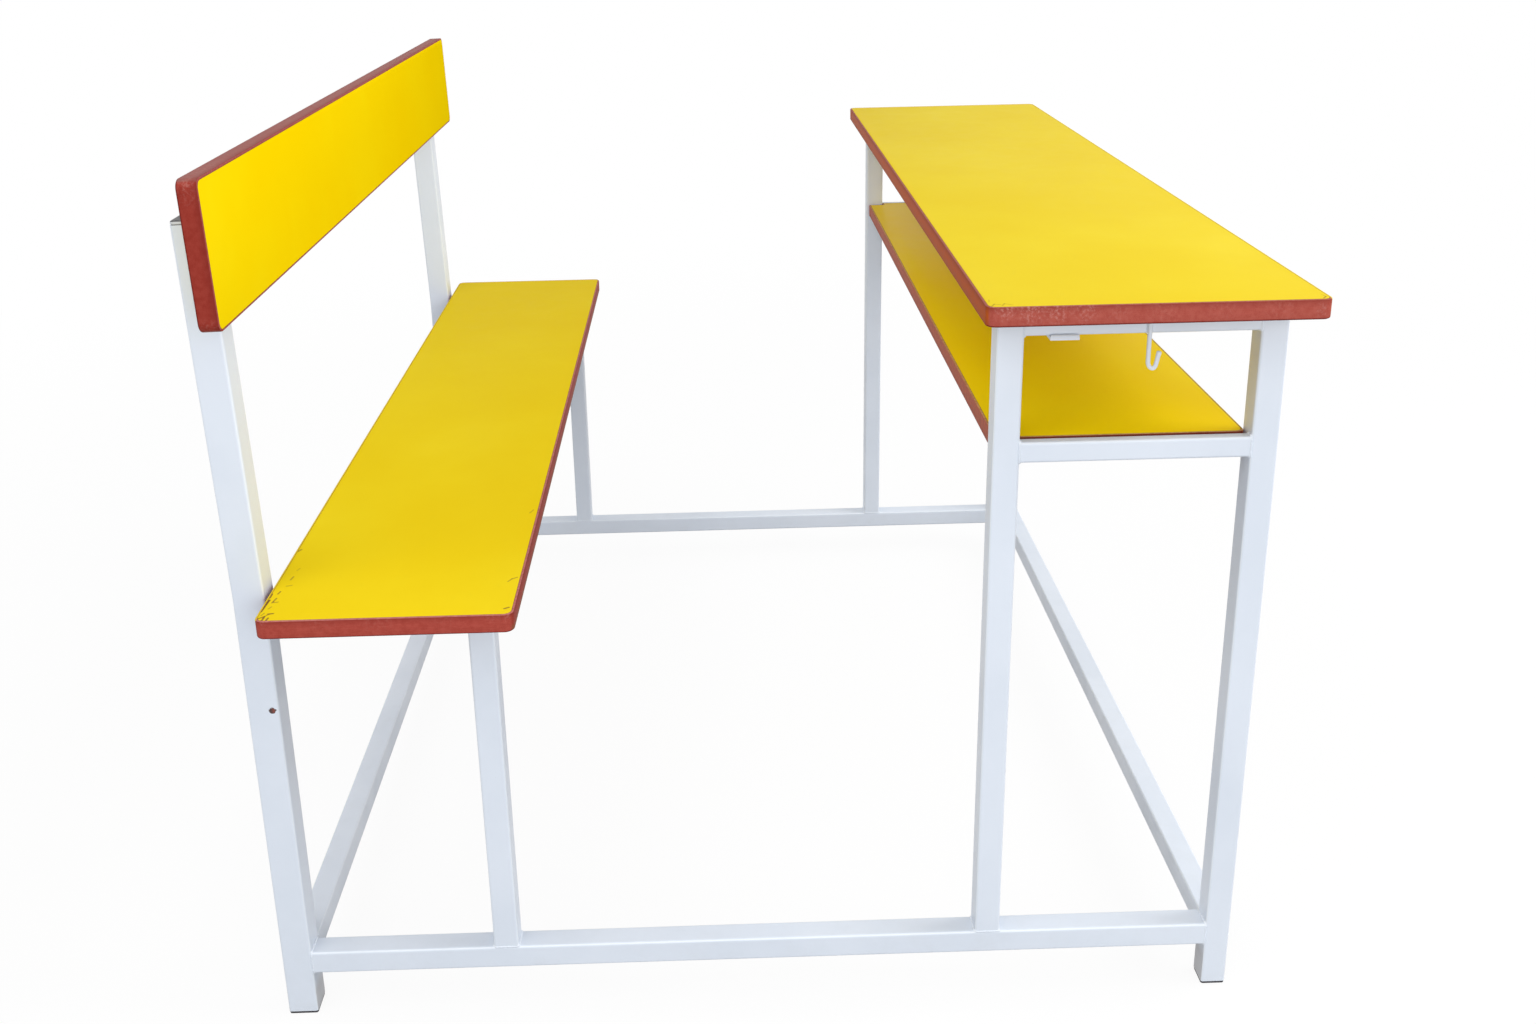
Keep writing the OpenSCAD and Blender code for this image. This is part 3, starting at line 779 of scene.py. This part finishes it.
def weldLugs(curve, side):  # each lug's foot on the shelf rail's inner face
    low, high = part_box(side + "_shelf_rail")
    inner = high.x if side == "right" else low.x
    for part in looseParts(side + "_shelf_lugs"):
        z = span(part, up)[0]
        front, rear = span(part, alongY)
        start, end = (inner, front + weld["lugInset"], z), (inner, rear - weld["lugInset"], z)
        addRun(curve, start, end, weld["level"])


def weldHook(curve, side):  # both sides of the hook's stem
    low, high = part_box(side + "_bag_hook")
    outer = railFace(side)[0]
    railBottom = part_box(side + "_desk_rail")[0].z
    (down, startRadius), (rise, endRadius) = weld["hookStart"], weld["hookEnd"]
    for share in weld["hookSides"]:
        y = high.y - (high.x - low.x) * share
        addBead(curve, [(Vector((outer, y, high.z - down)), startRadius),
                        (Vector((outer, y, railBottom + rise)), endRadius)])


for side in sides:
    beads = newRope(side + "_frame_welds")
    for node, axis, end, mate in joints:
        weldEnd(beads, f"{side}_{node}", axis, end, f"{side}_{mate}")
    weldTabs(beads, side)
    weldLugs(beads, side)
    weldHook(beads, side)
    ropePiece(beads, side + "_frame_welds", whitePaint)
beads = newRope("cross_welds")
for node, mate in crossJoints:
    weldEnd(beads, node, 0, 0, "right_" + mate)
    weldEnd(beads, node, 0, 1, "left_" + mate)
ropePiece(beads, "cross_welds", whitePaint)
print("welds made")


# Bag hooks: a rod bent to a narrow J, its blunt tip opening outwards
hook = {    # near, far and deep are shares of the hook's width
    "near": 0.46,          # from the stem to the lowest point
    "far": 0.3,            # from there to the tip's side
    "deep": 0.65,          # height of the bend
    "lean": 11,            # degrees that the tip leans out
    "steps": 20,
    "stem": (6 * mm, 2 * mm),     # heights above the bend of the stem's lower points
    "tipSide": 3 * mm,     # the CAD tip's points are this close to the hook's open side
    # shares of the tip's length, each with its swelling
    "tip": ((0.3, 1.0), (0.6, 1.05), (0.8, 1.14), (0.92, 1.14), (0.97, 0.95), (1.0, 0.6)),
    "smoothness": 5,
}


def makeHook(side):
    low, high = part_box(side + "_bag_hook")
    rod = high.x - low.x
    wide = high.y - low.y - rod
    x, stemY = (low.x + high.x) / 2, high.y - rod / 2
    near, far, deep = wide * hook["near"], wide * hook["far"], wide * hook["deep"]
    bendTop = low.z + rod / 2 + deep
    lean = math.radians(hook["lean"])
    last = math.atan(math.tan(lean) * deep / far)    # where the bend runs on into the tip
    path = [(0, bendTop + rise, 1.0) for rise in (high.z - bendTop, *hook["stem"])]
    for i in range(hook["steps"] + 1):
        turn = math.pi - (math.pi - last) * i / hook["steps"]
        reach = near if turn > math.pi / 2 else far
        path.append((-near - reach * math.cos(turn), bendTop - deep * math.sin(turn), 1.0))
    startY, startZ, swell = path[-1]
    corners = [vert.co for vert in nodes[side + "_bag_hook"].data.vertices]
    tipTop = max(corner.z for corner in corners if corner.y < low.y + hook["tipSide"])
    tall = tipTop - startZ
    for share, swell in hook["tip"]:
        path.append((startY - share * tall * math.tan(lean), startZ + share * tall, swell))
    curve = newRope(side + "_hook", hook["smoothness"])
    addStrand(curve, [((x, stemY + y, z), rod / 2 * swell) for y, z, swell in path])
    ropePiece(curve, side + "_hook_rod", whitePaint, [side + "_bag_hook"])


for side in sides:
    makeHook(side)
print("hooks made")


# Feet: moulded plugs whose flange shows as a thin black line under the tube
foot = {
    "inset": 0.4 * mm,
    "round": 2.4 * mm,
    "lowArris": (0.8 * mm, 3),    # size of the easing and its steps, as is the next
    "topArris": (0.3 * mm, 2),
    "wall": 1.8 * mm,             # tube's wall with the plug's clearance
    "plugRound": 1 * mm,
    "overlap": 0.2 * mm,          # of plug and flange
}


def slab(centre, half, radius, low, high, steps=5):  # a square block with rounded corners
    x, y = centre
    block = planFace(rectangle(x - half, y - half, x + half, y + half), [radius] * 4, steps)
    thicken(block, low, high)
    return block


def join(bm, block):
    mesh = bpy.data.meshes.new("block")
    block.to_mesh(mesh)
    block.free()
    bm.from_mesh(mesh)
    bpy.data.meshes.remove(mesh)


def makeFoot(node, tube):
    low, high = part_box(node)
    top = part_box(tube)[0].z
    centre, half = ((low.x + high.x) / 2, (low.y + high.y) / 2), (high.x - low.x) / 2
    flange = slab(centre, half - foot["inset"], foot["round"], 0, top)
    lowEdges, topEdges = edgesAt(flange, 0), edgesAt(flange, top)
    bevelEdges(flange, lowEdges, *foot["lowArris"])
    bevelEdges(flange, topEdges, *foot["topArris"])
    bm = bmesh.new()
    join(bm, flange)
    join(bm, slab(centre, half - foot["wall"], foot["plugRound"], top - foot["overlap"], high.z))
    finishPiece(bm, node + "_moulding", plain["foot_plastic"], [node])


for side in sides:
    makeFoot(side + "_rear_foot", side + "_rear_post")
    makeFoot(side + "_front_foot", side + "_desk_front_leg")
print("feet made")


# Post caps: a dark moulded top with a pale painted lip over a dark seam
cap = {
    "round": 3.4 * mm,
    "seam": 0.7 * mm,      # height of the seam
    "recess": 0.6 * mm,    # depth of the seam
    "topArris": (1.9 * mm, 4),    # size of the easing and its steps, as is the next
    "lowArris": (0.3 * mm, 2),
    "wall": 1.8 * mm,      # tube's wall with the plug's clearance
    "plugRound": 1 * mm,
    "overlap": 0.1 * mm,   # of seam and crown; plug and seam overlap by twice this
    "pale": shade(212, 216, 222),
    "dark": shade(104, 102, 106),
    "darker": shade(66, 66, 74),
    "mottleScale": 240,    # lumps to the metre, as is the next
    "grainScale": 500,
    "grainDepth": 0.05 * mm,
}
capTurn = Matrix((Vector(alongX), -leanAxis, leanUp)).transposed().to_4x4()
postTop = span([vert.co for vert in nodes["right_rear_post"].data.vertices], leanUp)[1]
seamTop = postTop + cap["seam"]


def makeCapPlastic():
    material, shader, place = newFinish("cap_plastic", {"Specular IOR Level": 0.4})
    mottle = place.noise(cap["mottleScale"], 4, 0.65)
    colour = mottle.ease(0.4, 0.62).blend(cap["darker"], cap["dark"])
    normal = place.node("ShaderNodeNewGeometry", out=1)
    upright = 1 - normal.along(leanUp).ease(0.35, 0.6)
    lip = upright * place.along(leanUp).ease(seamTop - cap["overlap"], seamTop + cap["overlap"])
    colour = (lip * (0.75 + 0.25 * mottle.ease(0.35, 0.5))).blend(colour, cap["pale"])
    plug(shader.inputs["Base Color"], colour)
    plug(shader.inputs["Roughness"], 0.42 + mottle * 0.15)
    addBump(shader, place.noise(cap["grainScale"], 2), cap["grainDepth"])
    return material


def makeCap(side):
    points = [vert.co for vert in nodes[side + "_post_cap"].data.vertices]
    xs, backs, ups = span(points, alongX), span(points, leanAxis), span(points, leanUp)
    half = (xs[1] - xs[0]) / 2
    place = Matrix.Translation(Vector((sum(xs) / 2, 0, 0)) + leanAxis * sum(backs) / 2) @ capTurn
    crown = slab((0, 0), half, cap["round"], seamTop, ups[1])
    topEdges, lowEdges = edgesAt(crown, ups[1]), edgesAt(crown, seamTop)
    bevelEdges(crown, topEdges, *cap["topArris"])
    bevelEdges(crown, lowEdges, *cap["lowArris"])
    bm = bmesh.new()
    join(bm, slab((0, 0), half - cap["recess"], cap["round"], postTop, seamTop + cap["overlap"]))
    join(bm, crown)
    join(bm, slab((0, 0), half - cap["wall"], cap["plugRound"], ups[0], postTop + 2 * cap["overlap"]))
    bmesh.ops.transform(bm, matrix=place, verts=bm.verts)
    finishPiece(bm, side + "_cap_moulding", capPlastic, [side + "_post_cap"])


capPlastic = makeCapPlastic()
for side in sides:
    makeCap(side)
print("caps made")


# Screws: pan heads with a cross recess
screw = {
    "steps": 24,
    "shank": 2.5 * mm,      # radius, as is the next
    "head": 4.75 * mm,
    "tall": 2.8 * mm,
    "heel": (0.2 * mm, 0.25 * mm),    # easing of the head's lower edge, inwards and up
    "crown": ((1, 0.45), (0.95, 0.72), (0.82, 0.93), (0.62, 1)),    # shares of the radius and height
    "recess": 1.3 * mm,     # depth
    "arm": 2.1 * mm,        # half length of the cross
    "slot": 0.55 * mm,      # half width of its arms
    "taper": 0.75,          # size of the recess's floor
}


def screwShape(shankEnd):  # the head's underside at z = 0, the shank towards +z
    bm = bmesh.new()
    radius, tall, shank = screw["head"], screw["tall"], screw["shank"]
    heelIn, heelUp = screw["heel"]
    profile = [(shank, shankEnd), (shank, 0), (radius - heelIn, 0), (radius, -heelUp)]
    profile += [(out * radius, -down * tall) for out, down in screw["crown"]]
    verts = [bm.verts.new((x, 0, z)) for x, z in profile]
    edges = [bm.edges.new(pair) for pair in zip(verts, verts[1:])]
    bmesh.ops.spin(bm, geom=verts + edges, cent=(0, 0, 0), axis=up, angle=math.tau, steps=screw["steps"],
                   use_merge=True)
    bmesh.ops.remove_doubles(bm, verts=bm.verts, dist=sameSpot)
    headRim = [edge for edge in bm.edges if edge.is_boundary and edge.verts[0].co.z < 0]
    arm, slot = screw["arm"], screw["slot"]
    inner = (arm + slot) / 2
    quarter = [(arm, 0), (arm, slot), (inner, slot), (slot, slot), (slot, inner), (slot, arm)]
    turns = [Matrix.Rotation(math.pi / 2 * quarterTurn, 2) for quarterTurn in range(4)]
    outline = [turn @ Vector(point) for turn in turns for point in quarter]
    ring = [bm.verts.new((x, y, -tall)) for x, y in outline]
    cross = [bm.edges.new((ring[i], ring[(i + 1) % len(ring)])) for i in range(len(ring))]
    bmesh.ops.bridge_loops(bm, edges=headRim + cross)
    floor = bmesh.ops.extrude_discrete_faces(bm, faces=[bm.faces.new(ring)])["faces"][0]
    bmesh.ops.translate(bm, verts=floor.verts, vec=(0, 0, screw["recess"]))
    bmesh.ops.scale(bm, verts=floor.verts, vec=(screw["taper"], screw["taper"], 1))
    bmesh.ops.holes_fill(bm, edges=[edge for edge in bm.edges if edge.is_boundary], sides=0)
    return bm


def makeScrews(node, axis):
    axis = Vector(axis)
    turn = Vector(up).rotation_difference(axis).to_matrix().to_4x4()
    bm = bmesh.new()
    for part in looseParts(node):
        low, high = span(part, axis)
        centre = sum(part, Vector()) / len(part)
        spot = centre - axis * centre.dot(axis) + axis * (low + screw["tall"])
        shape = screwShape(high - low - screw["tall"])
        bmesh.ops.rotate(shape, verts=shape.verts, matrix=Matrix.Rotation(dice.uniform(0, math.pi), 3, "Z"))
        bmesh.ops.transform(shape, matrix=Matrix.Translation(spot) @ turn, verts=shape.verts)
        join(bm, shape)
    finishPiece(bm, node[:-1] + "_heads", plain["zinc_screw"], [node], angle=40)


for node in ("desktop", "shelf", "seat"):
    makeScrews(node + "_screws", up)
makeScrews("backrest_screws", leanAxis)
print("screws made")


# Finishes of the CAD nodes that no piece replaces
for name, node in nodes.items():
    if name.endswith("_core"):
        finish = plain["board_core"]
    elif name == "backrest_backer":
        finish = laminates["backer"]
    elif name.endswith("_backer"):
        finish = plain["brown_backer"]
    elif name == "right_rear_post":
        finish = chippedPaint
    else:
        finish = whitePaint
    node.data.materials.clear()
    node.data.materials.append(finish)


# Studio: white floor that keeps the shadow, white surroundings, soft lamps
studio = {
    "floorSize": 30,                       # metres
    "floorTone": (0.27, 0.27, 0.28, 1),    # what the floor throws back at the object
    "seenTone": (0.95, 0.95, 0.95, 1),     # the same for the camera
    "ambient": 0.67,
    "whiten": 0.92,         # how far the floor is lifted to white where the camera sees it
    "clear": (1.2, 3.0),    # metres from the middle, over which the rest of the way to white is made
    "lamps": {              # watts, size and place in metres
        "key": (31, 2.6, (-2.2, 1.6, 3.4)),
        "fill": (66, 2.0, (-0.3, -3.2, 2.6)),
        "front": (48, 2.4, (-3.6, -0.5, 0.9)),
    },
    "aim": (0, 0, 0.45),
}


def seenStraight(start):  # 1 where the camera sees a surface, straight or in a gloss
    rays = start.tree.nodes.new("ShaderNodeLightPath")
    camera, glossy, through = (Socket(start.tree, rays.outputs[name])
                               for name in ("Is Camera Ray", "Is Glossy Ray", "Is Transmission Ray"))
    return camera.highest(glossy).highest(through)


def makeFloor():
    bm = bmesh.new()
    bmesh.ops.create_grid(bm, x_segments=1, y_segments=1, size=studio["floorSize"] / 2)
    mesh = bpy.data.meshes.new("floor")
    bm.to_mesh(mesh)
    bm.free()
    floor = bpy.data.objects.new("floor", mesh)
    bpy.context.scene.collection.objects.link(floor)
    material = bpy.data.materials.new("floor")
    material.use_nodes = True
    tree = material.node_tree
    tree.nodes.remove(tree.nodes["Principled BSDF"])
    surface = Socket(tree, tree.nodes["Material Output"].inputs["Surface"])
    seen = seenStraight(surface)
    tone = seen.blend(studio["floorTone"], studio["seenTone"])
    matt = surface.node("ShaderNodeBsdfDiffuse", inputs={"Color": tone})
    white = surface.node("ShaderNodeEmission", inputs={"Color": (1, 1, 1, 1), "Strength": 1.0})
    place = Socket(tree, tree.nodes.new("ShaderNodeTexCoord").outputs["Object"])
    lift = place.awayFrom((0, 0, 0)).ease(*studio["clear"]) * (1 - studio["whiten"]) + studio["whiten"]
    plug(surface.link, surface.node("ShaderNodeMixShader", inputs={0: seen * lift, 1: matt, 2: white}))
    mesh.materials.append(material)


def makeSurroundings():
    world = bpy.data.worlds.new("surroundings")
    world.use_nodes = True
    bpy.context.scene.world = world
    backdrop = world.node_tree.nodes["Background"]
    backdrop.inputs["Color"].default_value = (1, 1, 1, 1)
    strength = Socket(world.node_tree, backdrop.inputs["Strength"])
    plug(strength.link, seenStraight(strength) * (1 - studio["ambient"]) + studio["ambient"])


def makeLamp(name, power, size, place):
    lamp = bpy.data.lights.new(name, "AREA")
    lamp.energy, lamp.size = power, size
    light = bpy.data.objects.new(name, lamp)
    bpy.context.scene.collection.objects.link(light)
    light.location = place
    aim = Vector(studio["aim"]) - light.location
    light.rotation_euler = aim.to_track_quat("-Z", "Y").to_euler()


makeFloor()
makeSurroundings()
for name, lamp in studio["lamps"].items():
    makeLamp(name, *lamp)
bpy.context.scene.view_settings.view_transform = "Standard"
print("studio lit")
